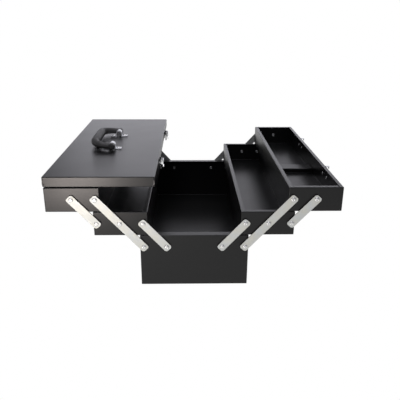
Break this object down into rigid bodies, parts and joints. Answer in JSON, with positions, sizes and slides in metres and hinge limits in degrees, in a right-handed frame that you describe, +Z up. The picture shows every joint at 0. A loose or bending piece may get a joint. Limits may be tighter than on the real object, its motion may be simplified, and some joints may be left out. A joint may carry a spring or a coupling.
{
  "type": "cantilever tool box",
  "caption": "Steel cantilever tool box standing open: trays swing out on parallel arms to both sides, and a hinged lid with a folding handle rests on the left upper tray.",
  "frame": {"origin": "middle of the case's underside", "axes": "+X to the right across the box, away from the lid; +Y to the back along the box; +Z up"},
  "size_m": [0.5455, 0.5056, 0.2365],
  "materials": {
    "body_paint": "black powder coat, satin, with a fine even texture",
    "divider_paint": "black powder coat, satin",
    "arm_zinc": "bright zinc plate, lightly drawn along the arm",
    "rivet_steel": "zinc plated, pressed head",
    "washer_steel": "zinc plated",
    "hinge_zinc": "zinc plated, satin",
    "bright_steel": "bright nickel plate",
    "core_steel": "drawn steel rod",
    "grip_rubber": "matt black moulded rubber"
  },
  "bodies": {
    "case": {"case_body": "body_paint", "case_rivets": "rivet_steel", "case_washers": "washer_steel"},
    "right_long_arms": {"long_arm_right_front": "arm_zinc", "long_arm_right_back": "arm_zinc"},
    "right_inner_arms": {"inner_arm_right_front": "arm_zinc", "inner_arm_right_back": "arm_zinc"},
    "right_outer_arms": {"outer_arm_right_front": "arm_zinc", "outer_arm_right_back": "arm_zinc"},
    "right_lower_tray": {"lower_tray_right": "body_paint", "lower_rivets_right": "rivet_steel", "lower_washers_right": "washer_steel"},
    "right_upper_tray": {"upper_tray_right": "body_paint", "upper_rivets_right": "rivet_steel", "upper_washers_right": "washer_steel", "divider_right": "divider_paint", "strike_plates": "bright_steel", "strike_rivets": "rivet_steel"},
    "left_long_arms": {"long_arm_left_front": "arm_zinc", "long_arm_left_back": "arm_zinc"},
    "left_inner_arms": {"inner_arm_left_front": "arm_zinc", "inner_arm_left_back": "arm_zinc"},
    "left_outer_arms": {"outer_arm_left_front": "arm_zinc", "outer_arm_left_back": "arm_zinc"},
    "left_lower_tray": {"lower_tray_left": "body_paint", "lower_rivets_left": "rivet_steel", "lower_washers_left": "washer_steel"},
    "left_upper_tray": {"upper_tray_left": "body_paint", "upper_rivets_left": "rivet_steel", "upper_washers_left": "washer_steel", "divider_left": "divider_paint", "hinge_leaves_tray": "hinge_zinc", "hinge_pins": "rivet_steel", "hinge_rivets_tray": "rivet_steel"},
    "lid": {"lid_pan": "body_paint", "hinge_leaves_lid": "hinge_zinc", "hinge_rivets_lid": "rivet_steel", "handle_saddles": "bright_steel", "saddle_rivets": "rivet_steel", "latch_plates": "bright_steel", "latch_rivets": "rivet_steel", "latch_pins": "rivet_steel"},
    "handle": {"handle_core": "core_steel", "handle_grip": "grip_rubber"},
    "front_latch_lever": {"latch_lever_front": "bright_steel"},
    "front_latch_loop": {"latch_loop_front": "bright_steel"},
    "back_latch_lever": {"latch_lever_back": "bright_steel"},
    "back_latch_loop": {"latch_loop_back": "bright_steel"}
  },
  "joints": [
    {"name": "right_swing", "type": "hinge", "parent": "case", "child": "right_long_arms", "pos_m": [0.093, 0, 0.0798], "axis": [0, -1, 0], "range_deg": [0, 84.5]},
    {"name": "right_lower_tray_pivot", "type": "hinge", "parent": "right_long_arms", "child": "right_lower_tray", "pos_m": [0.1351, 0, 0.12615], "axis": [0, -1, 0], "range_deg": [-84.5, 0]},
    {"name": "right_upper_tray_pivot", "type": "hinge", "parent": "right_long_arms", "child": "right_upper_tray", "pos_m": [0.1772, 0, 0.1725], "axis": [0, -1, 0], "range_deg": [-84.5, 0]},
    {"name": "right_inner_arm_pivot", "type": "hinge", "parent": "case", "child": "right_inner_arms", "pos_m": [0.05105, 0, 0.0798], "axis": [0, -1, 0], "range_deg": [0, 84.5]},
    {"name": "right_outer_arm_pivot", "type": "hinge", "parent": "right_lower_tray", "child": "right_outer_arms", "pos_m": [0.17705, 0, 0.12615], "axis": [0, -1, 0], "range_deg": [0, 84.5]},
    {"name": "left_swing", "type": "hinge", "parent": "case", "child": "left_long_arms", "pos_m": [-0.093, 0, 0.0798], "axis": [0, 1, 0], "range_deg": [0, 84.5]},
    {"name": "left_lower_tray_pivot", "type": "hinge", "parent": "left_long_arms", "child": "left_lower_tray", "pos_m": [-0.1351, 0, 0.12615], "axis": [0, 1, 0], "range_deg": [-84.5, 0]},
    {"name": "left_upper_tray_pivot", "type": "hinge", "parent": "left_long_arms", "child": "left_upper_tray", "pos_m": [-0.1772, 0, 0.1725], "axis": [0, 1, 0], "range_deg": [-84.5, 0]},
    {"name": "left_inner_arm_pivot", "type": "hinge", "parent": "case", "child": "left_inner_arms", "pos_m": [-0.05105, 0, 0.0798], "axis": [0, 1, 0], "range_deg": [0, 84.5]},
    {"name": "left_outer_arm_pivot", "type": "hinge", "parent": "left_lower_tray", "child": "left_outer_arms", "pos_m": [-0.17705, 0, 0.12615], "axis": [0, 1, 0], "range_deg": [0, 84.5]},
    {"name": "lid_hinge", "type": "hinge", "parent": "left_upper_tray", "child": "lid", "pos_m": [-0.2697, 0, 0.1956], "axis": [0, -1, 0], "range_deg": [0, 105]},
    {"name": "handle_fold", "type": "hinge", "parent": "lid", "child": "handle", "pos_m": [-0.1701, 0, 0.2233], "axis": [0, 1, 0], "range_deg": [-3.9, 171.9]},
    {"name": "front_latch", "type": "hinge", "parent": "lid", "child": "front_latch_lever", "pos_m": [-0.0638, -0.118, 0.20935], "axis": [0, -1, 0], "range_deg": [0, 150]},
    {"name": "front_loop_pivot", "type": "hinge", "parent": "front_latch_lever", "child": "front_latch_loop", "pos_m": [-0.0658, -0.118, 0.20505], "axis": [0, -1, 0], "range_deg": [-10, 16]},
    {"name": "back_latch", "type": "hinge", "parent": "lid", "child": "back_latch_lever", "pos_m": [-0.0638, 0.118, 0.20935], "axis": [0, -1, 0], "range_deg": [0, 150]},
    {"name": "back_loop_pivot", "type": "hinge", "parent": "back_latch_lever", "child": "back_latch_loop", "pos_m": [-0.0658, 0.118, 0.20505], "axis": [0, -1, 0], "range_deg": [-10, 16]}
  ],
  "couplings": [
    {"joint": "right_lower_tray_pivot", "follows": "right_swing", "ratio": -1},
    {"joint": "right_upper_tray_pivot", "follows": "right_swing", "ratio": -1},
    {"joint": "right_inner_arm_pivot", "follows": "right_swing", "ratio": 1},
    {"joint": "right_outer_arm_pivot", "follows": "right_swing", "ratio": 1},
    {"joint": "left_lower_tray_pivot", "follows": "left_swing", "ratio": -1},
    {"joint": "left_upper_tray_pivot", "follows": "left_swing", "ratio": -1},
    {"joint": "left_inner_arm_pivot", "follows": "left_swing", "ratio": 1},
    {"joint": "left_outer_arm_pivot", "follows": "left_swing", "ratio": 1}
  ]
}
